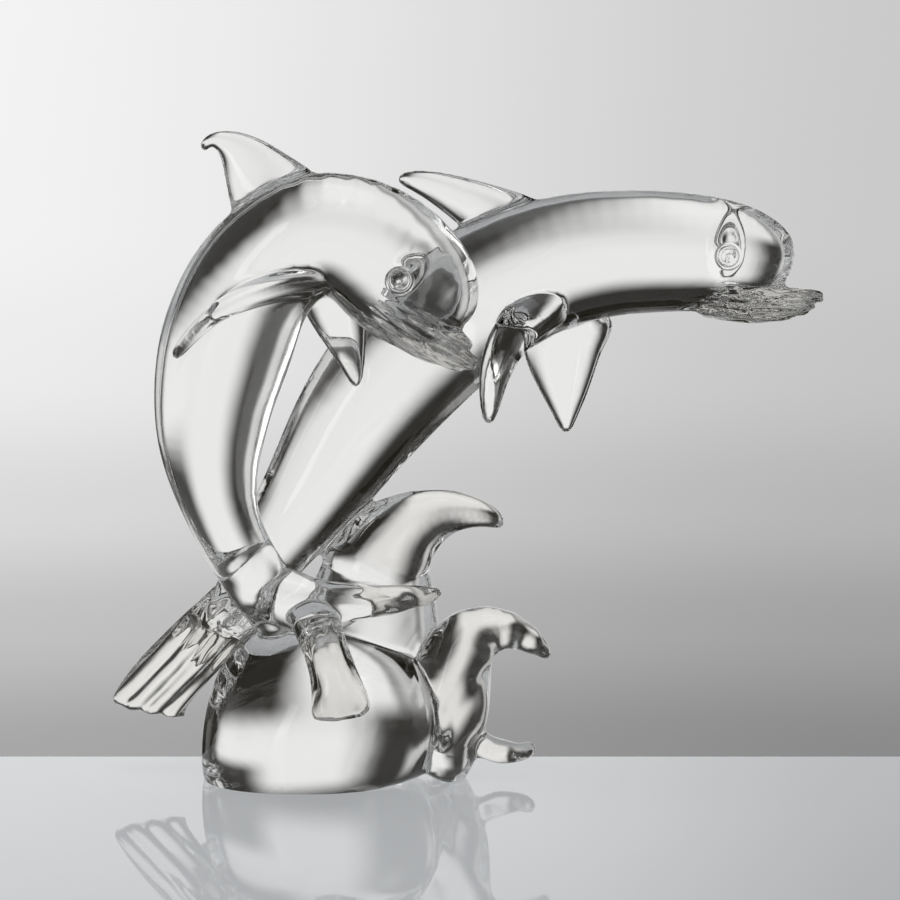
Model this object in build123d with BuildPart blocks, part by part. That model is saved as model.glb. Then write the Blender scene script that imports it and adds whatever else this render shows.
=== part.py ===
"""Two dolphins leaping over a breaking wave, a free-standing figurine in clear crystal.

The figurine is hot worked: every gather and pulled bit of glass is a piece of its
own, and each later bit is seated on the surface of the ones before it.
Frame: millimetres, +Z up, +X the way the dolphins leap, origin at the middle of the
flat foot, on the surface that it stands on.
"""

import os

from build123d import *

# Driving dimensions
SCALE = 1.0             # one factor for the whole figurine
FRONT_DEPTH = -38       # y of the front dolphin's head and back
REAR_DEPTH = 34         # y of the rear dolphin's head and back
WAVE_DEPTH = 0          # y of the lower wave's middle
SWELL_DEPTH = 17        # y of the middle of the swell behind the boulder
EYE_RADIUS = 4.5        # bead of each eye
FOOT_GRIND = 0.0        # height of the ground flat of the foot

DEPTH = Vector(0, 1, 0)     # across a piece that lies in the plane of the leap
LENGTH = Vector(1, 0, 0)    # across a piece that points toward or away from the front


def centre_of(station):
    """Point of a station, scaled to the figurine's size."""
    x, y, z = station[:3]
    return Vector(x, y, z) * SCALE


def sections_along(stations, across):
    """Ellipses square to a spine: each station is x, y, z, half width along
    `across`, half thickness square to it."""
    centres = [centre_of(station) for station in stations]
    last = len(centres) - 1
    faces = []
    for index, station in enumerate(stations):
        heading = centres[min(index + 1, last)] - centres[max(index - 1, 0)]
        plane = Plane(origin=centres[index], x_dir=across, z_dir=heading)
        half_width, half_thickness = station[3] * SCALE, station[4] * SCALE
        with BuildSketch(plane) as section:
            Ellipse(half_width, half_thickness)
        faces.append(section.sketch.faces()[0])
    return faces


def level_sections(stations):
    """Level ellipses: each station is x, y, z, half length, half depth."""
    faces = []
    for station in stations:
        half_length, half_depth = station[3] * SCALE, station[4] * SCALE
        with BuildSketch(Plane(origin=centre_of(station))) as section:
            Ellipse(half_length, half_depth)
        faces.append(section.sketch.faces()[0])
    return faces


def largest(shape):
    """The one piece that is kept where seating a bit leaves a crumb beside it."""
    return shape.solids().sort_by(SortBy.VOLUME)[-1]


# The base: a rounded boulder with a ground foot, and the swell that stands behind it
BOULDER = [
    (0, 0, FOOT_GRIND, 62, 43),
    (-2, 0, 5, 65, 46),
    (-8, 0, 18, 66, 48),
    (-14, 0, 36, 59, 46),
    (-20, 0, 53, 47, 39),
    (-23, -1, 66, 34, 29),
    (-24, -2, 75, 19, 17),
    (-24, -2, 79, 8, 7),
]
SWELL = [
    (12, SWELL_DEPTH, 4, 44, 26),
    (13, SWELL_DEPTH, 30, 42, 26),
    (15, SWELL_DEPTH, 62, 38, 23),
    (18, SWELL_DEPTH, 92, 33, 20),
    (22, SWELL_DEPTH, 112, 25, 16),
    (25, SWELL_DEPTH, 122, 15, 10),
]

with BuildPart() as base_boulder:
    loft(level_sections(BOULDER))

with BuildPart() as wave_swell:
    loft(level_sections(SWELL))
    add(base_boulder.part, mode=Mode.SUBTRACT)

# The two bodies, from the tail stock to the melon of the head
FRONT_BODY = [
    (-31, -8, 82, 11, 12),
    (-41, -11, 101, 12, 14),
    (-50, -15, 119, 14, 16),
    (-56, -19, 137, 16, 18),
    (-60, -23, 155, 19, 22),
    (-61, -27, 175, 23, 27),
    (-59, -31, 196, 26, 30),
    (-54, -34, 217, 29, 33),
    (-47, -36, 238, 30, 33),
    (-37, FRONT_DEPTH, 259, 30, 32),
    (-10, FRONT_DEPTH, 281, 31, 33),
    (22, FRONT_DEPTH, 271, 31, 35),
    (44, FRONT_DEPTH, 247, 28, 33),
    (55, FRONT_DEPTH, 234, 21, 23),
    (59, FRONT_DEPTH, 228, 10, 11),
]
REAR_BODY = [
    (-50, 12, 86, 13, 15),
    (-36, 15, 112, 16, 19),
    (-15, 19, 139, 21, 25),
    (4, 25, 171, 27, 32),
    (25, 30, 199, 30, 36),
    (54, 33, 231, 31, 39),
    (85, REAR_DEPTH, 249, 31, 36),
    (113, REAR_DEPTH, 260, 30, 34),
    (143, REAR_DEPTH, 264, 29, 32),
    (174, REAR_DEPTH, 264, 28, 31),
    (204, REAR_DEPTH, 262, 25, 28),
    (222, REAR_DEPTH, 259, 17, 20),
    (231, REAR_DEPTH, 256, 8, 10),
]
FRONT_EYE = (33, 256)       # x, z of the eye beads
FRONT_EYE_REACH = 29        # bead's middle, out from the body's middle plane
REAR_EYE = (196, 263)
REAR_EYE_REACH = 25


def eye_beads(place, depth, reach):
    """Middles of the near and the far eye bead of one dolphin."""
    x, z = place
    return [Vector(x, depth - reach, z) * SCALE, Vector(x, depth + reach, z) * SCALE]


front_eyes = eye_beads(FRONT_EYE, FRONT_DEPTH, FRONT_EYE_REACH)
rear_eyes = eye_beads(REAR_EYE, REAR_DEPTH, REAR_EYE_REACH)

with BuildPart() as front_body:
    loft(sections_along(FRONT_BODY, DEPTH))
    add(base_boulder.part, mode=Mode.SUBTRACT)
    with Locations(*front_eyes):
        Sphere(EYE_RADIUS * SCALE, mode=Mode.SUBTRACT)

with BuildPart() as rear_body:
    loft(sections_along(REAR_BODY, DEPTH))
    add(base_boulder.part, mode=Mode.SUBTRACT)
    add(wave_swell.part, mode=Mode.SUBTRACT)
    add(front_body.part, mode=Mode.SUBTRACT)
    with Locations(*rear_eyes):
        Sphere(EYE_RADIUS * SCALE, mode=Mode.SUBTRACT)

with BuildPart() as front_near_eye:
    with Locations(front_eyes[0]):
        Sphere(EYE_RADIUS * SCALE)

with BuildPart() as front_far_eye:
    with Locations(front_eyes[1]):
        Sphere(EYE_RADIUS * SCALE)

with BuildPart() as rear_near_eye:
    with Locations(rear_eyes[0]):
        Sphere(EYE_RADIUS * SCALE)

with BuildPart() as rear_far_eye:
    with Locations(rear_eyes[1]):
        Sphere(EYE_RADIUS * SCALE)

# The crests that break off the swell and the boulder
UPPER_CREST = [
    (16, SWELL_DEPTH, 98, 20, 30),
    (26, SWELL_DEPTH, 117, 19, 25),
    (42, SWELL_DEPTH, 130, 17, 17),
    (60, SWELL_DEPTH, 135, 13, 10.5),
    (76, SWELL_DEPTH, 132, 9, 7),
    (85, SWELL_DEPTH, 127, 4, 4),
]
LOWER_CREST = [
    (50, WAVE_DEPTH, 14, 22, 25),
    (57, WAVE_DEPTH, 38, 21, 21),
    (58, WAVE_DEPTH, 58, 20, 21),
    (67, WAVE_DEPTH, 74, 18, 17),
    (84, WAVE_DEPTH, 78, 14, 11),
    (99, WAVE_DEPTH, 70, 9, 7),
    (108, WAVE_DEPTH, 61, 4, 3),
]
FOOT_CURL = [
    (67, WAVE_DEPTH, 19, 12, 7),
    (80, WAVE_DEPTH, 14, 12, 7),
    (92, WAVE_DEPTH, 14, 8, 5),
    (99, WAVE_DEPTH, 16, 5, 4),
]

with BuildPart() as upper_wave_crest:
    loft(sections_along(UPPER_CREST, DEPTH))
    for seat in (wave_swell, rear_body, front_body):
        add(seat.part, mode=Mode.SUBTRACT)

with BuildPart() as lower_wave_crest:
    loft(sections_along(LOWER_CREST, DEPTH))
    for seat in (base_boulder, wave_swell):
        add(seat.part, mode=Mode.SUBTRACT)

with BuildPart() as foot_curl:
    loft(sections_along(FOOT_CURL, DEPTH))
    for seat in (lower_wave_crest, base_boulder):
        add(seat.part, mode=Mode.SUBTRACT)

# The fins: the dorsal fins stand in the plane of the leap, the rest spread from it
FRONT_DORSAL = [
    (-26, FRONT_DEPTH, 292, 9, 21),
    (-36, FRONT_DEPTH, 304, 7, 19),
    (-43, FRONT_DEPTH, 315, 5, 13),
    (-52, FRONT_DEPTH, 323, 3.5, 7),
    (-60, FRONT_DEPTH, 324, 2, 3),
]
REAR_DORSAL = [
    (94, REAR_DEPTH, 271, 9, 20),
    (74, REAR_DEPTH, 285, 7, 15),
    (54, REAR_DEPTH, 295, 5, 10),
    (40, REAR_DEPTH, 300, 3.5, 6),
    (30, REAR_DEPTH, 301, 2, 3),
]
FRONT_NEAR_FLIPPER = [
    (-14, -50, 256, 15, 8),
    (-28, -63, 253, 15, 7),
    (-46, -72, 247, 14, 6),
    (-60, -78, 237, 10, 5),
    (-69, -81, 227, 6, 4),
    (-74, -82, 220, 3, 2.5),
]
FRONT_FAR_FLIPPER = [
    (2, -25, 255, 15, 8),
    (4, -21, 243, 15, 7),
    (6, -17, 227, 12, 5.5),
    (8, -15, 211, 7, 4),
    (9, -14, 197, 3, 2.5),
]
REAR_NEAR_FLIPPER = [
    (108, 16, 241, 14, 9),
    (96, 3, 233, 12, 8),
    (85, -5, 223, 11, 7),
    (79, -8, 208, 9, 6),
    (77, -9, 193, 6, 5),
    (76, -9, 180, 3, 2.5),
]
REAR_FAR_FLIPPER = [
    (122, 46, 234, 20, 9),
    (120, 52, 218, 18, 7),
    (118, 56, 198, 14, 5),
    (117, 58, 180, 8, 3.5),
    (116, 59, 167, 3, 2.5),
]

with BuildPart() as front_dorsal_fin:
    loft(sections_along(FRONT_DORSAL, DEPTH))
    add(front_body.part, mode=Mode.SUBTRACT)

with BuildPart() as rear_dorsal_fin:
    loft(sections_along(REAR_DORSAL, DEPTH))
    add(rear_body.part, mode=Mode.SUBTRACT)

with BuildPart() as front_near_flipper:
    loft(sections_along(FRONT_NEAR_FLIPPER, DEPTH))
    add(front_body.part, mode=Mode.SUBTRACT)

with BuildPart() as front_far_flipper:
    loft(sections_along(FRONT_FAR_FLIPPER, LENGTH))
    add(front_body.part, mode=Mode.SUBTRACT)

with BuildPart() as rear_near_flipper:
    loft(sections_along(REAR_NEAR_FLIPPER, LENGTH))
    add(rear_body.part, mode=Mode.SUBTRACT)

with BuildPart() as rear_far_flipper:
    loft(sections_along(REAR_FAR_FLIPPER, LENGTH))
    add(rear_body.part, mode=Mode.SUBTRACT)

# The flukes: the front pair lies over the boulder, the rear pair hangs behind it
FRONT_RIGHT_FLUKE = [
    (-26, -12, 90, 12, 11),
    (-4, -15, 92, 15, 11),
    (18, -17, 93, 13, 9),
    (38, -19, 95, 9, 6.5),
    (54, -20, 98, 4, 3),
]
FRONT_NEAR_FLUKE = [
    (-12, -15, 91, 12, 7),
    (-8, -34, 86, 16, 9),
    (-1, -52, 75, 17, 8),
    (5, -63, 59, 15, 6.5),
    (9, -68, 46, 9, 4.5),
]
REAR_LEFT_FLUKE = [
    (-46, 14, 92, 12, 14),
    (-64, 18, 72, 9, 17),
    (-82, 21, 54, 7, 15),
    (-99, 24, 39, 5, 9),
    (-109, 25, 31, 2.5, 3),
]
REAR_FAR_FLUKE = [
    (-48, 16, 88, 15, 11),
    (-57, 36, 76, 17, 8),
    (-65, 54, 61, 13, 6),
    (-71, 66, 48, 6, 3.5),
]

with BuildPart() as front_right_fluke:
    loft(sections_along(FRONT_RIGHT_FLUKE, DEPTH))
    for seat in (front_body, rear_body, base_boulder, wave_swell, upper_wave_crest):
        add(seat.part, mode=Mode.SUBTRACT)

with BuildPart() as front_near_fluke:
    loft(sections_along(FRONT_NEAR_FLUKE, LENGTH))
    for seat in (front_right_fluke, front_body, rear_body, base_boulder, wave_swell):
        add(seat.part, mode=Mode.SUBTRACT)

with BuildPart() as rear_left_fluke:
    loft(sections_along(REAR_LEFT_FLUKE, DEPTH))
    for seat in (rear_body, front_body, base_boulder):
        add(seat.part, mode=Mode.SUBTRACT)

with BuildPart() as rear_far_fluke:
    loft(sections_along(REAR_FAR_FLUKE, LENGTH))
    for seat in (rear_left_fluke, rear_body, front_body, base_boulder, wave_swell):
        add(seat.part, mode=Mode.SUBTRACT)

# The bills: an upper and a lower bit under each head
FRONT_UPPER_BILL = [
    (26, FRONT_DEPTH, 244, 13, 7),
    (46, FRONT_DEPTH, 231, 15, 7),
    (61, FRONT_DEPTH, 224, 13, 6),
    (71, FRONT_DEPTH, 221, 7, 3),
]
FRONT_LOWER_BILL = [
    (15, FRONT_DEPTH, 241, 11, 6),
    (33, FRONT_DEPTH, 228, 14, 7),
    (51, FRONT_DEPTH, 219, 13, 6.5),
    (63, FRONT_DEPTH, 215, 10, 5),
    (70, FRONT_DEPTH, 215, 5, 3),
]
REAR_UPPER_BILL = [
    (186, REAR_DEPTH, 242, 13, 6),
    (211, REAR_DEPTH, 240, 16, 7),
    (235, REAR_DEPTH, 240, 13, 5),
    (249, REAR_DEPTH, 241, 7, 3),
]
REAR_LOWER_BILL = [
    (182, REAR_DEPTH, 237, 11, 5),
    (206, REAR_DEPTH, 233, 14, 6),
    (229, REAR_DEPTH, 233, 12, 5),
    (244, REAR_DEPTH, 236, 6, 3),
]

with BuildPart() as front_upper_bill:
    loft(sections_along(FRONT_UPPER_BILL, DEPTH))
    add(front_body.part, mode=Mode.SUBTRACT)

with BuildPart() as front_lower_bill:
    loft(sections_along(FRONT_LOWER_BILL, DEPTH))
    for seat in (front_body, front_upper_bill):
        add(seat.part, mode=Mode.SUBTRACT)

with BuildPart() as rear_upper_bill:
    loft(sections_along(REAR_UPPER_BILL, DEPTH))
    add(rear_body.part, mode=Mode.SUBTRACT)

with BuildPart() as rear_lower_bill:
    loft(sections_along(REAR_LOWER_BILL, DEPTH))
    for seat in (rear_body, rear_upper_bill):
        add(seat.part, mode=Mode.SUBTRACT)

# Write each piece to its own file
PIECES = {
    "base_boulder": base_boulder,
    "wave_swell": wave_swell,
    "upper_wave_crest": upper_wave_crest,
    "lower_wave_crest": lower_wave_crest,
    "foot_curl": foot_curl,
    "front_body": front_body,
    "front_upper_bill": front_upper_bill,
    "front_lower_bill": front_lower_bill,
    "front_near_eye": front_near_eye,
    "front_far_eye": front_far_eye,
    "front_dorsal_fin": front_dorsal_fin,
    "front_near_flipper": front_near_flipper,
    "front_far_flipper": front_far_flipper,
    "front_right_fluke": front_right_fluke,
    "front_near_fluke": front_near_fluke,
    "rear_body": rear_body,
    "rear_upper_bill": rear_upper_bill,
    "rear_lower_bill": rear_lower_bill,
    "rear_near_eye": rear_near_eye,
    "rear_far_eye": rear_far_eye,
    "rear_dorsal_fin": rear_dorsal_fin,
    "rear_near_flipper": rear_near_flipper,
    "rear_far_flipper": rear_far_flipper,
    "rear_left_fluke": rear_left_fluke,
    "rear_far_fluke": rear_far_fluke,
}

os.makedirs("parts", exist_ok=True)
for name, piece in PIECES.items():
    solid = largest(piece.part)
    solid.label = name
    export_step(solid, f"parts/{name}.step")
    box = solid.bounding_box()
    print(f"{name}: {len(piece.part.solids())} solid, {solid.volume / 1000:.1f} cm3, "
          f"x {box.min.X:.1f}..{box.max.X:.1f}, z {box.min.Z:.1f}..{box.max.Z:.1f}")
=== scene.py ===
"""Clear crystal figurine: two dolphins leaping over a breaking wave.

Every gather and pulled bit of glass is lofted along its spine, the gathers are fused
into one skin with soft fillets, and the skin is parted again at the seats, so that
each bit is a closed piece of its own. Lengths are millimetres until a mesh is made.
"""

import logging
import math
from collections.abc import Iterator
from contextlib import contextmanager
from dataclasses import dataclass, field, replace
from enum import Enum

import bpy
import numpy as np
from mathutils import Matrix, Vector


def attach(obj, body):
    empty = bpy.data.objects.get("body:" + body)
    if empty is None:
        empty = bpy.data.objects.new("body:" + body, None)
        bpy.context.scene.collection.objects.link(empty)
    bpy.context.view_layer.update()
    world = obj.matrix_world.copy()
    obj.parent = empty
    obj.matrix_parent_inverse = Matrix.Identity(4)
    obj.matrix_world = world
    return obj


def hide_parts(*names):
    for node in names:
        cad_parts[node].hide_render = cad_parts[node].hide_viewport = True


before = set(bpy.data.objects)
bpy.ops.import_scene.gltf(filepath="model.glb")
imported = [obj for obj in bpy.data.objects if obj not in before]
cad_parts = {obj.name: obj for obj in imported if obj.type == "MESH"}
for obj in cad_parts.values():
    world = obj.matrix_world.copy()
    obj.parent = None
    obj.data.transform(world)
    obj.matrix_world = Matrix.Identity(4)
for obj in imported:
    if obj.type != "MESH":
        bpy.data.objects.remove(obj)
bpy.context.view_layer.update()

MM = 0.001                      # metres in a millimetre
BODY = "root"                   # the one rigid body of a fused figurine
SIDES = 24                      # corners of a lofted ring
LOFT_LEVELS = 2                 # subdivisions of a lofted gather
SMOOTH_ANGLE = 50.0             # degrees; a sharper edge stays crisp
SPECK = 60                      # faces; a loose shell with fewer is dropped
MERGE = 1e-6                    # metres; corners closer than this are one corner

BAND_AXIS = Vector((1, 1, 1))   # the bands of a wood texture are square to this
BAND_PERIOD = math.tau / (10 * math.sqrt(3))    # from band to band
BAND_NOISE = 2.0                # how slowly a band strays along its length
WEIGHT_STEPS = 8                # steps from no comb to full comb
EDGE_START, EDGE_FALL = 2.6, 1.6    # the comb is whole on a bit and fades out from it
END_FALL = 6.0                  # millimetres over which it fades past the bit's ends

Steps = tuple[tuple[float, float], ...]         # places in order, each with a strength

log = logging.getLogger("figurine")


def deselect() -> None:
    """Leave nothing selected, so that an operator acts on what is chosen next."""
    bpy.ops.object.select_all(action="DESELECT")


def choose(piece: bpy.types.Object) -> None:
    """Make one object the only selected and active one.

    Args:
        piece: the object that the next operators act on.
    """
    deselect()
    piece.select_set(True)
    bpy.context.view_layer.objects.active = piece


def apply_modifier(piece: bpy.types.Object, kind: str, **settings: object) -> None:
    """Add a modifier, set it up and apply it.

    Args:
        piece: the object that is changed.
        kind: the modifier's type.
        settings: its properties by name.
    """
    choose(piece)
    modifier = piece.modifiers.new(kind.lower(), kind)
    for name, value in settings.items():
        setattr(modifier, name, value)
    bpy.ops.object.modifier_apply(modifier=modifier.name)


@contextmanager
def edit_mode() -> Iterator[None]:
    """Stay in edit mode for a block of operators."""
    bpy.ops.object.mode_set(mode="EDIT")
    yield
    bpy.ops.object.mode_set(mode="OBJECT")


def boolean(piece: bpy.types.Object, operation: str, tool: bpy.types.Object) -> None:
    """Change one closed mesh by another.

    Args:
        piece: the mesh that is changed.
        operation: INTERSECT, DIFFERENCE or UNION.
        tool: the other mesh, which stays as it is.
    """
    apply_modifier(
        piece,
        "BOOLEAN",
        operation=operation,
        object=tool,
        solver="MANIFOLD",
        material_mode="TRANSFER",
    )


def place_mesh() -> bpy.types.Object:
    """Move a new primitive's place and turn into its mesh, and return it."""
    bpy.ops.object.transform_apply(location=True, rotation=True, scale=True)
    return bpy.context.object


def join(pieces: list[bpy.types.Object], name: str) -> bpy.types.Object:
    """Join meshes into one object.

    Args:
        pieces: the objects, of which the first one stays.
        name: what the result is called.

    Returns:
        The joined object.
    """
    choose(pieces[0])
    for piece in pieces[1:]:
        piece.select_set(True)
    if len(pieces) > 1:
        bpy.ops.object.join()
    pieces[0].name = name
    return pieces[0]


def shells(piece: bpy.types.Object) -> list[bpy.types.Object]:
    """Take a mesh apart into its loose shells.

    Args:
        piece: the mesh.

    Returns:
        The shells as objects, the largest first.
    """
    choose(piece)
    bpy.ops.mesh.separate(type="LOOSE")
    return sorted(
        bpy.context.selected_objects, key=lambda shell: len(shell.data.polygons), reverse=True
    )


def remove(piece: bpy.types.Object) -> None:
    """Delete a construction object and its mesh."""
    mesh = piece.data
    bpy.data.objects.remove(piece)
    bpy.data.meshes.remove(mesh)


class Value:
    """A shader number, on which Python's operators add Math nodes."""

    def __init__(self, nodes: "Nodes", socket: bpy.types.NodeSocket) -> None:
        """Keep the socket and the tree that it belongs to."""
        self.nodes = nodes
        self.socket = socket

    def maths(self, operation: str, *others: "Value | float") -> "Value":
        """Add one Math node.

        Args:
            operation: what the node does with this value.
            others: its further inputs in order, each a value or a plain number.

        Returns:
            The node's result.
        """
        inputs = {f"i{place}": term for place, term in enumerate((self, *others))}
        node = self.nodes.add("ShaderNodeMath", {"operation": operation}, **inputs)
        return Value(self.nodes, node.outputs[0])

    def __add__(self, other: "Value | float") -> "Value":
        """Sum."""
        return self.maths("ADD", other)

    def __sub__(self, other: "Value | float") -> "Value":
        """Difference."""
        return self.maths("SUBTRACT", other)

    def __rsub__(self, other: float) -> "Value":
        """Difference from a number."""
        return self * -1.0 + other

    def __mul__(self, other: "Value | float") -> "Value":
        """Product."""
        return self.maths("MULTIPLY", other)

    __radd__ = __add__
    __rmul__ = __mul__


class Nodes:
    """A node tree, with one method that adds a node of any kind."""

    def __init__(self, tree: bpy.types.NodeTree) -> None:
        """Empty the tree and keep it."""
        self.tree = tree
        tree.nodes.clear()

    def add(self, kind: str, settings: dict | None = None, **values: object) -> bpy.types.Node:
        """Add a node.

        Args:
            kind: the node's type.
            settings: properties, and a ramp's stops, set before the sockets.
            values: a number, colour, value or socket for each input, by its name with _
                for a space, or by i and its place.

        Returns:
            The node.
        """
        node = self.tree.nodes.new(kind)
        for name, setting in (settings or {}).items():
            if name == "stops":
                self.place_stops(node.color_ramp, setting)
            else:
                setattr(node, name, setting)
        for name, value in values.items():
            numbered = name[0] == "i" and name[1:].isdigit()
            socket = node.inputs[int(name[1:]) if numbered else name.replace("_", " ")]
            if isinstance(value, Value):
                value = value.socket
            if isinstance(value, bpy.types.NodeSocket):
                self.tree.links.new(value, socket)
            else:
                socket.default_value = value
        return node

    @staticmethod
    def place_stops(ramp: bpy.types.ColorRamp, stops: Steps) -> None:
        """Set a ramp's stops, from place 0 to 1, each with a strength, in soft steps."""
        ramp.interpolation = "EASE"
        first, *middle, last = stops
        for place, strength in middle:
            ramp.elements.new(place).color = (strength, strength, strength, 1.0)
        for element, (_, strength) in ((ramp.elements[0], first), (ramp.elements[-1], last)):
            element.color = (strength, strength, strength, 1.0)

    def curve(self, value: Value, points: Steps) -> Value:
        """A smooth curve through points.

        Args:
            value: where along the curve.
            points: places in order, each with its strength.

        Returns:
            The curve's strength there.
        """
        low, high = points[0][0], points[-1][0]
        place = self.add("ShaderNodeMapRange", i0=value, i1=low, i2=high).outputs[0]
        stops = tuple(((point - low) / (high - low), strength) for point, strength in points)
        ramp = self.add("ShaderNodeValToRGB", {"stops": stops}, Fac=place)
        return Value(self, ramp.outputs[0])

    def blend(self, factor: Value, low: Value, high: Value) -> Value:
        """Go from one value to another."""
        return low + (high - low) * factor


@dataclass(frozen=True)
class Crystal:
    """Clear fire-polished lead crystal, with the tool marks of one kind of bit.

    Attributes:
        name: the material's name.
        comb: how the combed lines are turned about the depth, in degrees from level.
        pitch: from line to line, in millimetres.
        waver: how far the lines stray.
        depth: how deep the fine lines are, in millimetres.
        ridge: how far the combed ridges stand out of the glass, in millimetres.
        swell: the size of the slow unevenness of hand-worked glass, in millimetres.
        swell_depth: how deep that is, in millimetres.
        ior: the glass's index of refraction.
        colour: what is left of white light that passes the surface; on the worked bits a darker tint
            that is painted shade.
    """

    name: str = "clear_crystal"
    comb: float = 0.0
    pitch: float = 6.0
    waver: float = 2.0
    depth: float = 0.0
    ridge: float = 0.0
    swell: float = 26.0
    swell_depth: float = 0.25
    ior: float = 1.52
    colour: tuple[float, float, float, float] = (0.992, 0.99, 0.978, 1.0)

    def material(self) -> bpy.types.Material:
        """Make the finish, or find it where it is already made."""
        if self.name in bpy.data.materials:
            return bpy.data.materials[self.name]
        made = bpy.data.materials.new(self.name)
        made.use_nodes = True
        nodes = Nodes(made.node_tree)
        place = nodes.add("ShaderNodeTexCoord").outputs["Object"]
        cloud = nodes.add(
            "ShaderNodeTexNoise", Vector=place, Scale=1 / (self.swell * MM), Detail=1.0, Roughness=0.4
        )
        normal = nodes.add(
            "ShaderNodeBump", Height=cloud.outputs[0], Strength=1.0, Distance=self.swell_depth * MM
        ).outputs[0]
        if self.depth:
            turned = nodes.add(
                "ShaderNodeMapping", Vector=place, Rotation=(0.0, math.radians(self.comb), 0.0)
            ).outputs[0]
            lines = nodes.add(
                "ShaderNodeTexWave",
                {"bands_direction": "Z"},
                Vector=turned,
                Scale=math.pi / 10 / (self.pitch * MM),
                Distortion=self.waver,
                Detail=2.0,
                Detail_Scale=0.7,
            )
            normal = nodes.add(
                "ShaderNodeBump",
                Height=lines.outputs[1],
                Strength=1.0,
                Distance=self.depth * MM,
                Normal=normal,
            ).outputs[0]
        shader = nodes.add(
            "ShaderNodeBsdfPrincipled",
            Base_Color=self.colour,
            Roughness=0.0,
            IOR=self.ior,
            Transmission_Weight=1.0,
            Normal=normal,
        )
        nodes.add("ShaderNodeOutputMaterial", Surface=shader.outputs[0])
        return made


@dataclass(frozen=True)
class FusedSeat:
    """The seat where two bits are fused: light passes it without a trace."""

    name: str = "fused_seat"

    def material(self) -> bpy.types.Material:
        """Make the finish."""
        made = bpy.data.materials.new(self.name)
        made.use_nodes = True
        nodes = Nodes(made.node_tree)
        shader = nodes.add("ShaderNodeBsdfTransparent")
        nodes.add("ShaderNodeOutputMaterial", Surface=shader.outputs[0])
        return made


CLEAR = Crystal()
WORKED_SHADE_TINT = (0.92, 0.91, 0.885, 1.0)      # painted shade: worked glass tinted a trace darker than the clear
COMBED_SHADE_TINT = (0.64, 0.63, 0.6, 1.0)       # painted shade: combed glass tinted much darker all through
FRONT_BILL = Crystal(
    "combed_front_bill", comb=-33.0, pitch=5.0, waver=4.0, depth=0.9, ridge=0.4, colour=COMBED_SHADE_TINT
)
REAR_BILL = Crystal(
    "combed_rear_bill", comb=-4.0, pitch=4.2, waver=4.5, depth=1.0, ridge=0.35, colour=COMBED_SHADE_TINT
)
LEFT_FLUKE = Crystal(
    "drawn_left_fluke", comb=46.0, pitch=9.0, waver=4.0, depth=0.6, ridge=0.45, colour=WORKED_SHADE_TINT
)
RIGHT_FLUKE = Crystal(
    "drawn_right_fluke", comb=-4.0, pitch=8.0, waver=3.5, depth=0.5, ridge=0.4, colour=WORKED_SHADE_TINT
)
NEAR_FLUKE = Crystal(
    "drawn_near_fluke", comb=-66.0, pitch=10.0, waver=3.0, depth=0.4, ridge=0.12, colour=WORKED_SHADE_TINT
)
UPPER_WAVE = Crystal(
    "drawn_upper_wave", comb=38.0, pitch=19.0, waver=2.0, depth=0.5, ridge=0.15, colour=WORKED_SHADE_TINT
)
LOWER_WAVE = Crystal(
    "drawn_lower_wave", comb=64.0, pitch=14.0, waver=3.5, depth=0.6, ridge=0.2, colour=WORKED_SHADE_TINT
)


class Across(Enum):
    """The direction that a gather's width runs in."""

    DEPTH = (0.0, 1.0, 0.0)
    LENGTH = (1.0, 0.0, 0.0)


@dataclass(frozen=True)
class Ring:
    """An ellipse square to a spine: its middle, half width and half thickness."""

    x: float
    y: float
    z: float
    wide: float
    thick: float

    @property
    def middle(self) -> Vector:
        """Middle of the ring, in millimetres."""
        return Vector((self.x, self.y, self.z))

    def grown(self, margin: float) -> "Ring":
        """The same ring, larger all round by a margin."""
        return replace(self, wide=self.wide + margin, thick=self.thick + margin)


def rings(*rows: tuple[float, ...]) -> tuple[Ring, ...]:
    """Rings from rows of x, y, z, half width and half thickness."""
    return tuple(Ring(*row) for row in rows)


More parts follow.
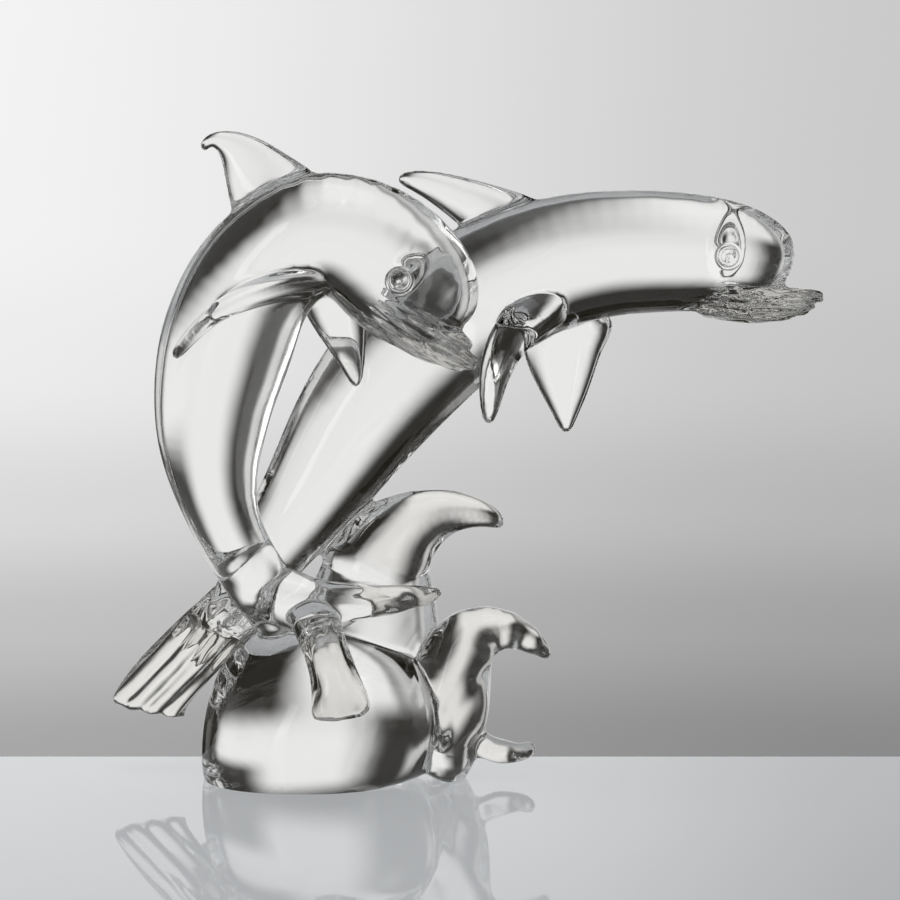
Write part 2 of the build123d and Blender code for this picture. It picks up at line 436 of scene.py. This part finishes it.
@dataclass(frozen=True)
class Gather:
    """A gather or bit of glass, lofted through rings along its spine.

    Attributes:
        node: the part that the finished piece stands for.
        rings: the rings from root to tip.
        across: the direction of the rings' width.
        seat: index of the ring that the seat lies on.
        margin: how far the parting cutter stands off the bit.
        finish: the crystal's surface.
    """

    node: str
    rings: tuple[Ring, ...]
    across: Across = Across.DEPTH
    seat: int = 1
    margin: float = 5.0
    finish: Crystal = CLEAR

    def heading(self, index: int) -> Vector:
        """Direction of the spine at a ring."""
        last = len(self.rings) - 1
        ahead, behind = self.rings[min(index + 1, last)], self.rings[max(index - 1, 0)]
        return (ahead.middle - behind.middle).normalized()

    def turn(self, index: int) -> Matrix:
        """Rotation of a ring: x along the width, z along the spine."""
        along = self.heading(index)
        wide = Vector(self.across.value)
        wide = (wide - along * wide.dot(along)).normalized()
        return Matrix((wide, along.cross(wide), along)).transposed()

    def loft(self, name: str, levels: int = LOFT_LEVELS) -> bpy.types.Object:
        """Build the gather as one closed, smooth mesh.

        Args:
            name: the object's name.
            levels: subdivisions.

        Returns:
            The new object.
        """
        deselect()
        for index, ring in enumerate(self.rings):
            bpy.ops.mesh.primitive_circle_add(
                vertices=SIDES,
                radius=ring.wide * MM,
                location=ring.middle * MM,
                rotation=self.turn(index).to_euler(),
            )
            if index == 0:
                piece = place_mesh()
                piece.name = name
                bpy.ops.object.mode_set(mode="EDIT")
                bpy.ops.mesh.select_all(action="SELECT")
            bpy.ops.transform.resize(
                value=(1.0, ring.thick / ring.wide, 1.0),
                orient_matrix=self.turn(index),
                center_override=ring.middle * MM,
            )
            bpy.ops.mesh.select_all(action="DESELECT")
        bpy.ops.object.mode_set(mode="OBJECT")
        for lower in range(len(self.rings) - 1):
            self.select_rings(piece, lower, lower + 1)
            with edit_mode():
                bpy.ops.mesh.bridge_edge_loops()
        for end in (0, len(self.rings) - 1):
            self.select_rings(piece, end, end)
            with edit_mode():
                bpy.ops.mesh.edge_face_add()
        with edit_mode():
            bpy.ops.mesh.select_all(action="SELECT")
            bpy.ops.mesh.normals_make_consistent(inside=False)
        if levels:
            apply_modifier(piece, "SUBSURF", levels=levels, render_levels=levels)
        return piece

    def nearness(self, points: np.ndarray) -> np.ndarray:
        """How surely points of the skin belong to this bit.

        Args:
            points: places, one a row, in millimetres.

        Returns:
            For each point 1 on the bit, falling to 0 a little way off it.
        """
        found = np.zeros(len(points))
        for index in range(self.seat, len(self.rings) - 1):
            low, high = self.rings[index], self.rings[index + 1]
            wide, thick, along = (np.array(column) for column in self.turn(index).transposed())
            offset = points - np.array(low.middle)
            span = float((high.middle - low.middle).length)
            share = offset @ along / span
            middle = np.clip(share, 0.0, 1.0)
            offset = offset - np.outer(middle * span, along)
            across = np.hypot(
                offset @ wide / (low.wide + (high.wide - low.wide) * middle),
                offset @ thick / (low.thick + (high.thick - low.thick) * middle),
            )
            ends = np.abs(share - middle) * span / END_FALL
            beside = np.clip(EDGE_START - EDGE_FALL * across, 0.0, 1.0)
            found = np.maximum(found, beside * np.clip(1.0 - ends, 0.0, 1.0))
        return found

    @staticmethod
    def select_rings(piece: bpy.types.Object, first: int, last: int) -> None:
        """Select the corners and edges of one or two rings and nothing else."""
        mesh = piece.data
        chosen = {first, last}
        for face in mesh.polygons:
            face.select = False
        for corner in mesh.vertices:
            corner.select = corner.index // SIDES in chosen
        for edge in mesh.edges:
            a, b = (corner // SIDES for corner in edge.vertices)
            edge.select = a == b and a in chosen

    def cutter(self) -> bpy.types.Object:
        """A closed body round the bit, from its seat to past its tip.

        Returns:
            The cutter, a bare loft; part() then gives its walls the fused seat's finish.
        """
        outer = [ring.grown(self.margin) for ring in self.rings[self.seat :]]
        tip = self.rings[-1]
        past = tip.middle + self.heading(len(self.rings) - 1) * self.margin
        outer.append(replace(tip.grown(self.margin), x=past.x, y=past.y, z=past.z))
        return replace(self, rings=tuple(outer)).loft(f"{self.node}_cutter", 0)


@dataclass(frozen=True)
class Eye:
    """A bead of an eye, in a pressed socket with a tooled groove round it.

    Attributes:
        node: the part that the bead stands for.
        x, z: its place on the side of the head.
        depth: y of the head's middle.
        reach: how far out the socket's floor lies.
        outward: -1 on the near side and 1 on the far side.
        radius: the bead's.
        groove: half the width of the groove.
        press: radius of the ball that presses the socket.
    """

    node: str
    x: float
    z: float
    depth: float
    reach: float
    outward: float
    radius: float = 4.6
    groove: float = 1.3
    press: float = 16.0

    def at(self, out: float) -> tuple[float, float, float]:
        """A point on the eye's axis, so far out from the socket's floor."""
        return (self.x, self.depth + self.outward * (self.reach + out), self.z)

    def bead(self) -> Gather:
        """The bead, as a short gather that points outwards."""
        profile = ((-6.0, 1.0), (-1.0, 1.0), (1.0, 0.92), (2.6, 0.66), (3.4, 0.3))
        rows = [(*self.at(out), self.radius * share, self.radius * share) for out, share in profile]
        return Gather(self.node, rings(*rows), Across.LENGTH, seat=0, margin=0.5)

    def socket_tool(self) -> bpy.types.Object:
        """The ball that presses the socket into the head."""
        deselect()
        bpy.ops.mesh.primitive_uv_sphere_add(
            segments=64,
            ring_count=32,
            radius=self.press * MM,
            location=Vector(self.at(self.press)) * MM,
        )
        return place_mesh()

    def groove_tool(self) -> bpy.types.Object:
        """The ring that cuts the groove round the bead."""
        deselect()
        bpy.ops.mesh.primitive_torus_add(
            major_segments=72,
            minor_segments=16,
            major_radius=(self.radius + self.groove) * MM,
            minor_radius=self.groove * MM,
            location=Vector(self.at(0.0)) * MM,
            rotation=(math.radians(90.0), 0.0, 0.0),
        )
        return place_mesh()


@dataclass
class Dolphin:
    """One leaping dolphin: a body with its bill, eyes, fins, flippers and flukes.

    Attributes:
        body: the solid body, from the tail stock to the melon.
        bits: the fins, flippers, flukes and bill halves.
        eyes: the near and the far eye.
    """

    body: Gather
    bits: list[Gather]
    eyes: list[Eye]


@dataclass
class WaveBase:
    """The boulder with its ground foot, the swell behind it and the crests.

    The knot is the glass that fills the crossing of the two tails. It is fused in with
    the rest, and no part of its own.
    """

    knot: Gather = field(
        default_factory=lambda: Gather(
            "tail_knot",
            rings(
                (-54, -4, 102, 9, 8),
                (-42, -8, 98, 17, 14),
                (-26, -11, 93, 20, 16),
                (-10, -14, 90, 18, 14),
                (4, -16, 90, 14, 11),
                (14, -17, 91, 8, 7),
            ),
        )
    )
    boulder: Gather = field(
        default_factory=lambda: Gather(
            "base_boulder",
            rings(
                (0, 0, -6, 50, 34),
                (-1, 0, 3, 59, 41),
                (-4, 0, 13, 65, 46),
                (-9, 0, 26, 65, 48),
                (-15, 0, 40, 59, 47),
                (-20, 0, 53, 49, 40),
                (-23, -1, 66, 36, 30),
                (-24, -2, 75, 21, 18),
                (-24, -2, 80, 8, 7),
            ),
            Across.LENGTH,
        )
    )
    swell: Gather = field(
        default_factory=lambda: Gather(
            "wave_swell",
            rings(
                (12, 17, 6, 42, 24),
                (13, 17, 30, 42, 26),
                (15, 17, 62, 38, 23),
                (18, 17, 92, 33, 20),
                (22, 17, 112, 25, 16),
                (25, 17, 122, 15, 10),
            ),
            Across.LENGTH,
            seat=0,
            margin=3.0,
        )
    )
    crests: list[Gather] = field(
        default_factory=lambda: [
            Gather(
                "upper_wave_crest",
                rings(
                    (14, 17, 92, 20, 30),
                    (20, 17, 106, 19, 28),
                    (27, 17, 118, 18, 25),
                    (42, 17, 130, 16, 17),
                    (60, 17, 135, 12, 10.5),
                    (76, 17, 132, 8, 6.5),
                    (85, 17, 126, 4, 3),
                ),
                finish=UPPER_WAVE,
            ),
            Gather(
                "lower_wave_crest",
                rings(
                    (40, 0, 6, 24, 26),
                    (50, 0, 18, 22, 23),
                    (57, 0, 38, 21, 21),
                    (58, 0, 58, 20, 21),
                    (67, 0, 74, 18, 17),
                    (84, 0, 78, 14, 11),
                    (99, 0, 70, 8, 6.5),
                    (108, 0, 61, 4, 3),
                ),
                finish=LOWER_WAVE,
            ),
            Gather(
                "foot_curl",
                rings(
                    (67, 0, 19, 12, 7),
                    (78, 0, 14.5, 11, 6.5),
                    (88, 0, 12, 9, 5.5),
                    (95, 0, 13, 6, 4.5),
                    (100, 0, 17, 4, 3.5),
                ),
                finish=LOWER_WAVE,
            ),
        ]
    )

    @staticmethod
    def wheel() -> bpy.types.Object:
        """The flat block that grinds the foot off at the table."""
        deselect()
        size = 400.0 * MM
        bpy.ops.mesh.primitive_cube_add(size=size, location=(0.0, 0.0, -size / 2))
        return place_mesh()


def front_dolphin() -> Dolphin:
    """The near dolphin, which arches over and looks down."""
    depth = -38.0
    return Dolphin(
        body=Gather(
            "front_body",
            rings(
                (-22, -9, 78, 14, 14),
                (-29, -10, 88, 15, 16),
                (-38, -12, 101, 14, 16.5),
                (-49, -15, 119, 14, 16.5),
                (-56, -19, 137, 16, 18),
                (-60, -23, 155, 19, 22),
                (-61, -27, 175, 23, 27),
                (-59, -31, 196, 26, 30),
                (-54, -34, 217, 29, 33),
                (-47, -36, 238, 30, 33),
                (-37, depth, 259, 30, 32),
                (-10, depth, 281, 31, 33),
                (20, depth, 272, 31, 35),
                (44, depth, 247, 28, 33),
                (55, depth, 234, 21, 23),
                (59, depth, 228, 10, 11),
            ),
        ),
        bits=[
            Gather(
                "front_dorsal_fin",
                rings(
                    (-22, depth, 286, 12, 26),
                    (-30, depth, 297, 8, 22),
                    (-36, depth, 305, 6, 18),
                    (-43, depth, 315, 4.5, 12.5),
                    (-51, depth, 321.5, 3.5, 7),
                    (-58, depth, 323, 3.5, 3.5),
                    (-62, depth, 319.5, 3.2, 3),
                    (-61, depth, 316.5, 2, 2),
                ),
            ),
            Gather(
                "front_near_flipper",
                rings(
                    (-10, -44, 257, 20, 12),
                    (-18, -56, 256, 17, 9),
                    (-28, -64, 253, 15, 7),
                    (-46, -72, 247, 13, 5.5),
                    (-60, -78, 237, 9, 4.5),
                    (-69, -81, 227, 6, 3.5),
                    (-74, -82, 220, 3, 2.5),
                ),
                seat=2,
            ),
            Gather(
                "front_far_flipper",
                rings(
                    (-1, -28, 262, 20, 10),
                    (0, -22, 249, 19, 8),
                    (2, -19, 237, 16, 6),
                    (6, -16, 223, 11, 4.5),
                    (9.5, -15, 210, 6, 3.5),
                    (11, -14, 199, 2.5, 2.5),
                ),
                Across.LENGTH,
            ),
            Gather(
                "front_right_fluke",
                rings(
                    (-36, -11, 92, 13, 12),
                    (-20, -13, 92, 14, 13),
                    (-4, -15, 92, 15, 11),
                    (18, -17, 93, 13, 8.5),
                    (38, -19, 95, 9, 6),
                    (54, -20, 98, 4, 3),
                ),
                seat=2,
                finish=RIGHT_FLUKE,
            ),
            Gather(
                "front_near_fluke",
                rings(
                    (-14, -12, 91, 13, 9),
                    (-10, -34, 87, 13, 8),
                    (-4, -50, 76, 11, 7),
                    (1, -60, 63, 12, 6),
                    (4, -66, 51, 15, 5),
                    (5, -69, 43, 16, 4),
                ),
                Across.LENGTH,
                finish=NEAR_FLUKE,
            ),
            Gather(
                "front_lower_bill",
                rings(
                    (4, depth, 250, 14, 6),
                    (16, depth, 241, 17, 7),
                    (33, depth, 229, 17, 7.5),
                    (51, depth, 219, 14, 6.5),
                    (64, depth, 214, 9, 5),
                    (71, depth, 214, 4, 3),
                ),
                margin=2.5,
                finish=FRONT_BILL,
            ),
            Gather(
                "front_upper_bill",
                rings(
                    (26, depth, 244, 18, 7),
                    (42, depth, 236, 24, 8),
                    (57, depth, 227, 17, 7),
                    (68, depth, 220, 8, 4),
                ),
                seat=0,
                margin=2.5,
                finish=FRONT_BILL,
            ),
        ],
        eyes=[
            Eye("front_near_eye", 33, 256, depth, 27.0, -1.0),
            Eye("front_far_eye", 33, 256, depth, 27.0, 1.0),
        ],
    )


def rear_dolphin() -> Dolphin:
    """The far dolphin, which leaps out level to the right."""
    depth = 34.0
    return Dolphin(
        body=Gather(
            "rear_body",
            rings(
                (-58, 10, 72, 12, 14),
                (-50, 12, 86, 13, 15),
                (-36, 15, 112, 16, 19),
                (-15, 19, 139, 21, 25),
                (4, 25, 171, 27, 32),
                (25, 30, 199, 30, 36),
                (54, 33, 231, 31, 39),
                (85, depth, 249, 31, 36),
                (113, depth, 260, 30, 34),
                (143, depth, 264, 29, 32),
                (174, depth, 264, 28, 31),
                (204, depth, 262, 25, 28),
                (222, depth, 259, 17, 20),
                (231, depth, 256, 8, 10),
            ),
        ),
        bits=[
            Gather(
                "rear_dorsal_fin",
                rings(
                    (100, depth, 266, 12, 24),
                    (84, depth, 279, 8, 18),
                    (72, depth, 286, 6, 14),
                    (54, depth, 295, 4.5, 9.5),
                    (40, depth, 300, 3.5, 6),
                    (30, depth, 301, 2.5, 3),
                ),
            ),
            Gather(
                "rear_near_flipper",
                rings(
                    (108, 16, 241, 17, 12),
                    (99, 5, 235, 13, 9),
                    (87, -4, 225, 11, 7),
                    (79, -8, 209, 9, 5.5),
                    (77, -9, 193, 6, 4.5),
                    (76, -9, 180, 3, 2.5),
                ),
                Across.LENGTH,
            ),
            Gather(
                "rear_far_flipper",
                rings(
                    (122, 44, 237, 23, 11),
                    (118, 50, 226, 23, 8),
                    (114, 54, 214, 22, 6),
                    (115.5, 56, 202, 18, 5),
                    (116.5, 57, 188, 12, 4),
                    (117, 58, 176, 6, 3.5),
                    (117, 58.5, 168, 2.5, 2.5),
                ),
                Across.LENGTH,
            ),
            Gather(
                "rear_left_fluke",
                rings(
                    (-42, 14, 98, 12, 13),
                    (-52, 15, 86, 11, 15),
                    (-65, 18, 71, 9, 17),
                    (-79, 20, 57, 7, 17),
                    (-89, 22, 46, 6, 17.5),
                    (-95, 23.5, 37, 5.5, 19),
                    (-97, 24, 31, 5, 20),
                    (-97.5, 24, 28, 4.5, 20),
                ),
                finish=LEFT_FLUKE,
            ),
            Gather(
                "rear_far_fluke",
                rings(
                    (-46, 12, 92, 14, 12),
                    (-51, 24, 85, 16, 9),
                    (-57, 36, 76, 17, 7.5),
                    (-65, 54, 61, 13, 5.5),
                    (-71, 66, 48, 6, 3.5),
                ),
                Across.LENGTH,
                finish=LEFT_FLUKE,
            ),
            Gather(
                "rear_lower_bill",
                rings(
                    (178, depth, 238, 13, 5),
                    (192, depth, 235, 17, 6),
                    (210, depth, 233, 16, 6),
                    (229, depth, 234, 12, 5),
                    (243, depth, 237, 6, 3),
                ),
                seat=0,
                margin=2.5,
                finish=REAR_BILL,
            ),
            Gather(
                "rear_upper_bill",
                rings(
                    (186, depth, 244, 16, 7),
                    (200, depth, 243, 20, 7.5),
                    (215, depth, 242, 17, 6),
                    (235, depth, 241, 13, 4.5),
                    (248, depth, 241, 7, 3),
                ),
                seat=0,
                margin=2.5,
                finish=REAR_BILL,
            ),
        ],
        eyes=[
            Eye("rear_near_eye", 196, 263, depth, 23.5, -1.0),
            Eye("rear_far_eye", 196, 263, depth, 23.5, 1.0),
        ],
    )


@dataclass
class Figurine:
    """The whole figurine: lofts, fuses, parts and dresses every piece.

    Attributes:
        dolphins: the near and the far dolphin.
        base: the boulder and its waves.
        smoothing: how many times the fused skin is smoothed.
        seat_material: what the parted faces wear.
    """

    dolphins: list[Dolphin] = field(default_factory=lambda: [front_dolphin(), rear_dolphin()])
    base: WaveBase = field(default_factory=WaveBase)
    smoothing: int = 20
    voxel: float = field(default_factory=lambda: 1.0)
    seat_material: bpy.types.Material = field(default_factory=lambda: FusedSeat().material())

    @property
    def eyes(self) -> list[Eye]:
        """All four eyes."""
        return [eye for dolphin in self.dolphins for eye in dolphin.eyes]

    def gathers(self) -> list[Gather]:
        """Every gather, in the order that they are parted from the skin."""
        found = [eye.bead() for eye in self.eyes]
        for dolphin in self.dolphins:
            found += dolphin.bits
        found += reversed(self.base.crests)
        found += [dolphin.body for dolphin in self.dolphins]
        return [*found, self.base.swell, self.base.boulder]

    def cut(self, piece: bpy.types.Object, tool: bpy.types.Object, keep: bool = False) -> None:
        """Cut a mesh with a closed tool.

        Args:
            piece: the glass.
            tool: the closed mesh that cuts it.
            keep: True to keep what is inside the tool, False to take it away.
        """
        before = len(piece.data.polygons)
        boolean(piece, "INTERSECT" if keep else "DIFFERENCE", tool)
        if len(piece.data.polygons) == before:
            raise RuntimeError(f"{tool.name} did not cut {piece.name}")

    def fuse(self) -> bpy.types.Object:
        """Loft every gather, press the eye sockets and fuse it all into one skin.

        Returns:
            The fused glass, ground flat at the foot.
        """
        bits = [*self.gathers(), self.base.knot]
        lofts = {gather.node: gather.loft(f"{gather.node}_loft") for gather in bits}
        for dolphin in self.dolphins:
            for eye in dolphin.eyes:
                tool = eye.socket_tool()
                self.cut(lofts[dolphin.body.node], tool)
                remove(tool)
        skin = join(list(lofts.values()), "fused_glass")
        apply_modifier(skin, "REMESH", mode="VOXEL", voxel_size=self.voxel * MM)
        apply_modifier(skin, "SMOOTH", factor=0.5, iterations=self.smoothing)
        skin, *specks = shells(skin)
        for speck in specks:
            remove(speck)
        for gather in self.gathers():
            if gather.finish.ridge:
                self.comb(skin, gather)
        skin.data.materials.append(CLEAR.material())
        for tool in (self.base.wheel(), *(eye.groove_tool() for eye in self.eyes)):
            tool.data.materials.append(CLEAR.material())
            self.cut(skin, tool)
            remove(tool)
        return skin

    def comb(self, skin: bpy.types.Object, gather: Gather) -> None:
        """Comb ridges into one bit of the fused glass.

        Args:
            skin: the fused glass.
            gather: the bit, whose finish says how the ridges run.
        """
        finish = gather.finish
        corners = skin.data.vertices
        places = np.empty(3 * len(corners), dtype=np.float32)
        corners.foreach_get("co", places)
        steps = np.ceil(gather.nearness(places.reshape(-1, 3) / MM) * WEIGHT_STEPS)
        group = skin.vertex_groups.new(name=gather.node)
        for step in range(1, WEIGHT_STEPS + 1):
            group.add(np.flatnonzero(steps == step).tolist(), step / WEIGHT_STEPS, "REPLACE")
        texture = bpy.data.textures.new(f"{gather.node}_comb", "WOOD")
        texture.wood_type = "BANDNOISE"
        texture.turbulence = finish.waver
        texture.noise_scale = BAND_NOISE
        slope = math.radians(finish.comb)
        across = Vector((-math.sin(slope), 0.0, math.cos(slope)))
        deselect()
        bpy.ops.object.empty_add(rotation=BAND_AXIS.rotation_difference(across).to_euler())
        guide = bpy.context.object
        guide.scale = [finish.pitch * MM / BAND_PERIOD] * 3
        bpy.context.view_layer.update()
        apply_modifier(
            skin,
            "DISPLACE",
            texture=texture,
            texture_coords="OBJECT",
            texture_coords_object=guide,
            vertex_group=group.name,
            strength=2 * finish.ridge * MM,
            mid_level=0.5,
        )
        skin.vertex_groups.clear()
        bpy.data.objects.remove(guide)
        bpy.data.textures.remove(texture)

    def part(self, skin: bpy.types.Object, gather: Gather) -> bpy.types.Object:
        """Part one bit from the skin at its seat.

        Args:
            skin: the fused glass, which loses the bit.
            gather: the bit.

        Returns:
            The bit as a closed piece.
        """
        cutter = gather.cutter()
        cutter.data.materials.append(self.seat_material)
        choose(skin)
        bpy.ops.object.duplicate()
        piece = bpy.context.object
        self.cut(piece, cutter, keep=True)
        self.cut(skin, cutter)
        remove(cutter)
        return piece

    def settle(self, pieces: list[bpy.types.Object]) -> list[bpy.types.Object]:
        """Give each loose shell that the cuts left to the piece that it touches.

        Args:
            pieces: the parted pieces.

        Returns:
            The pieces, each one whole shell.
        """
        whole, loose = [], []
        for piece in pieces:
            largest, *rest = shells(piece)
            whole.append(largest)
            loose += rest
        for bit in loose:
            count = len(bit.data.vertices)
            if len(bit.data.polygons) >= SPECK:
                middle = sum((corner.co for corner in bit.data.vertices), Vector()) / count
                nearest = min(
                    whole,
                    key=lambda piece: (piece.closest_point_on_mesh(middle)[1] - middle).length,
                )
                boolean(nearest, "UNION", bit)
            remove(bit)
        return whole

    def dress(self, piece: bpy.types.Object, gather: Gather) -> None:
        """Name, smooth and finish one piece, and say what it stands for.

        Args:
            piece: the glass.
            gather: the bit that it is.
        """
        piece.name = f"{gather.node}_glass"
        piece.data.materials[0] = gather.finish.material()
        choose(piece)
        bpy.ops.object.shade_smooth_by_angle(angle=math.radians(SMOOTH_ANGLE))
        with edit_mode():
            bpy.ops.mesh.select_all(action="SELECT")
            bpy.ops.mesh.dissolve_degenerate(threshold=MERGE)
            bpy.ops.mesh.select_all(action="DESELECT")
        for face in piece.data.polygons:
            face.select = face.material_index != 0
        with edit_mode():
            bpy.ops.mesh.region_to_loop()
            bpy.ops.mesh.mark_sharp()
        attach(piece, BODY)
        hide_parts(gather.node)
        log.info("%s: %d faces", piece.name, len(piece.data.polygons))

    def build(self) -> None:
        """Build every piece of the figurine."""
        skin = self.fuse()
        *parted, last = self.gathers()
        pieces = [self.part(skin, gather) for gather in parted]
        for piece, gather in zip(self.settle([*pieces, skin]), (*parted, last)):
            self.dress(piece, gather)


@dataclass
class Studio:
    """Table, camera and light.

    Lengths are millimetres. The steps of panels, strip, heights and overhead are
    strengths at angles in degrees: a panel's is measured to the right of straight behind
    the figurine, and a height's upwards from level. A step from one set of panels to
    another gives the height at which the second takes over.
    """

    elevation: float = 7.0          # degrees
    distance: float = 1600.0
    target: tuple[float, float, float] = (57.0, 0.0, 166.8)
    lens: float = 128.0
    table_size: tuple[float, float, float] = (2400.0, 1500.0, 10.0)
    table_edge: float = 48.0        # y of the table's back edge
    table_gap: float = 0.1          # from the ground foot down to the table
    table_painted_shade: Steps = ((-0.35, 0.0), (0.05, 0.2), (0.3, 1.0))     # x in metres; painted shade, the table darkens from left to right
    strip_strength: float = 1.0
    glow: float = 0.86              # brightness of the panels
    fall_off: float = 0.66          # how much darker the backdrop is on the right
    level_panels: Steps = (
        (-180, 0.3), (-164, 0.3), (-158, 0.02), (-150, 0.02), (-142, 0.5), (-128, 0.5),
        (-120, 0.02), (-106, 0.02), (-98, 0.8), (-84, 0.8), (-74, 0.02), (-60, 0.02),
        (-52, 0.6), (-44, 0.6), (-38, 0.02), (-26, 0.02), (-8, 1.0), (42, 1.0),
        (54, 0.02), (72, 0.02), (78, 1.0), (100, 1.0), (106, 0.02), (118, 0.02),
        (124, 0.8), (148, 0.8), (156, 0.05), (166, 0.3), (180, 0.3),
    )
    lower_panels: Steps = (
        (-180, 0.3), (-165, 0.3), (-155, 0.02), (-106, 0.02), (-98, 0.8), (-84, 0.8),
        (-74, 0.02), (-64, 0.02), (-56, 0.7), (-46, 0.7), (-36, 0.4), (-28, 1.0),
        (-3, 1.0), (15, 0.02), (118, 0.02), (128, 0.7), (145, 0.7), (155, 0.02),
        (168, 0.3), (180, 0.3),
    )
    upper_panels: Steps = (
        (-180, 0.3), (-162, 0.3), (-152, 0.02), (-104, 0.02), (-96, 0.7), (-82, 0.7),
        (-74, 0.02), (-58, 0.02), (-50, 0.7), (-42, 0.7), (-34, 0.02), (-24, 0.02),
        (-8, 1.0), (8, 1.0), (24, 0.02), (70, 0.02), (80, 0.9), (98, 0.9), (106, 0.02),
        (122, 0.02), (130, 0.8), (146, 0.8), (156, 0.05), (170, 0.3), (180, 0.3),
    )
    heights: Steps = (
        (-70, 0.01), (-56, 1.0), (-28, 1.0), (-15, 0.92), (-3, 1.0), (11, 1.0), (26, 0.01),
        (90, 0.01),
    )
    backdrop_heights: Steps = (
        (-90, 0.75), (-35, 0.75), (-17, 0.34), (-12.2, 0.39), (-10, 0.54), (-8, 0.7),
        (-5.5, 0.84), (-3, 0.89), (4, 0.9),
    )
    lower_to_level: Steps = ((-22, 0.0), (-11, 1.0))
    level_to_upper: Steps = ((-2, 0.0), (8, 1.0))
    overhead: Steps = ((62, 0.0), (74, 1.0))
    strip_turns: Steps = ((-158, 0.0), (-154, 1.0), (-148, 1.0), (-144, 0.0))
    strip_heights: Steps = ((-45, 0.0), (-38, 1.0), (34, 1.0), (42, 0.0))

    def camera(self) -> None:
        """Stand the camera before the figurine, a little above the table."""
        tilt = math.radians(self.elevation)
        back = Vector((0.0, -math.cos(tilt), math.sin(tilt))) * self.distance
        deselect()
        bpy.ops.object.camera_add(location=(Vector(self.target) + back) * MM)
        camera = bpy.context.object
        camera.name = "studio_camera"
        camera.rotation_euler = (math.radians(90.0) - tilt, 0.0, 0.0)
        camera.data.lens = self.lens
        camera.data.clip_start = 0.01
        bpy.context.scene.camera = camera

    def table(self) -> None:
        """Lay the polished table top, with painted light: pale on the left, grey to the right, and a
        painted glow.
        """
        deselect()
        bpy.ops.mesh.primitive_cube_add(size=1.0)
        top = bpy.context.object
        top.name = "table_top"
        _, length, thick = self.table_size
        middle = (self.target[0], self.table_edge - length / 2, -thick / 2 - self.table_gap)
        bpy.ops.transform.resize(value=Vector(self.table_size) * MM)
        bpy.ops.transform.translate(value=Vector(middle) * MM)
        place_mesh()
        made = bpy.data.materials.new("table_painted_light")
        made.use_nodes = True
        nodes = Nodes(made.node_tree)
        place = nodes.add("ShaderNodeTexCoord").outputs["Object"]
        across = Value(nodes, nodes.add("ShaderNodeSeparateXYZ", Vector=place).outputs[0])
        shade = nodes.curve(across, self.table_painted_shade)
        # painted light and shade: pale where the table is lit on the left, grey where it lies in
        # shade on the right
        colour = nodes.add(
            "ShaderNodeMix",
            {"data_type": "RGBA"},
            i0=shade,
            i6=(0.94, 0.97, 1.0, 1.0),
            i7=(0.5, 0.52, 0.55, 1.0),
        ).outputs[2]
        # painted glow: the table gives off light in its painted colours, though it is no lamp
        shader = nodes.add(
            "ShaderNodeBsdfPrincipled",
            Base_Color=colour,
            Roughness=0.03,
            IOR=1.5,
            Emission_Color=colour,
            Emission_Strength=0.34,
        )
        nodes.add("ShaderNodeOutputMaterial", Surface=shader.outputs[0])
        top.data.materials.append(made)

    def light(self) -> None:
        """Light the room: a graded backdrop, and panels with dark flags between them."""
        world = bpy.data.worlds.new("studio")
        bpy.context.scene.world = world
        world.use_nodes = True
        nodes = Nodes(world.node_tree)
        way = nodes.add("ShaderNodeTexCoord").outputs["Generated"]
        parts = nodes.add("ShaderNodeSeparateXYZ", Vector=way)
        x, y, z = (Value(nodes, parts.outputs[axis]) for axis in "XYZ")
        turn = x.maths("ARCTAN2", y) * math.degrees(1.0)
        rise = z.maths("ARCSINE") * math.degrees(1.0)

        level = nodes.curve(turn, self.level_panels)
        lower = nodes.curve(turn, self.lower_panels)
        upper = nodes.curve(turn, self.upper_panels)
        facing = nodes.blend(nodes.curve(rise, self.lower_to_level), lower, level)
        facing = nodes.blend(nodes.curve(rise, self.level_to_upper), facing, upper)
        strip = nodes.curve(turn, self.strip_turns) * nodes.curve(rise, self.strip_heights)
        above = nodes.curve(rise, self.overhead)
        room = nodes.add(
            "ShaderNodeMix",
            {"data_type": "RGBA"},
            i0=facing * nodes.curve(rise, self.heights) + strip + above,
            i6=(0.012, 0.01, 0.006, 1.0),
            i7=(1.0, 1.0, 1.0, 1.0),
        ).outputs[2]
        panels = nodes.add(
            "ShaderNodeBackground", Color=room, Strength=strip * self.strip_strength + self.glow
        )

        fall = nodes.curve(turn, [(-9, 1.0), (9, self.fall_off)])
        graded = fall * nodes.curve(rise, self.backdrop_heights)
        backdrop = nodes.add("ShaderNodeBackground", Color=graded, Strength=1.0)
        seen = nodes.add("ShaderNodeLightPath").outputs["Is Camera Ray"]
        lit = nodes.add(
            "ShaderNodeMixShader", i0=seen, i1=panels.outputs[0], i2=backdrop.outputs[0]
        )
        nodes.add("ShaderNodeOutputWorld", Surface=lit.outputs[0])

    def build(self) -> None:
        """Set the studio up."""
        self.camera()
        self.table()
        self.light()
        scene = bpy.context.scene
        scene.view_settings.view_transform = "Standard"
        scene.cycles.max_bounces = 32
        scene.cycles.transmission_bounces = 32
        scene.cycles.transparent_max_bounces = 64
        scene.cycles.glossy_bounces = 16


def main() -> None:
    """Build the figurine and its studio."""
    logging.basicConfig(level=logging.INFO, format="%(message)s")
    Figurine().build()
    Studio().build()


if __name__ == "__main__":
    main()
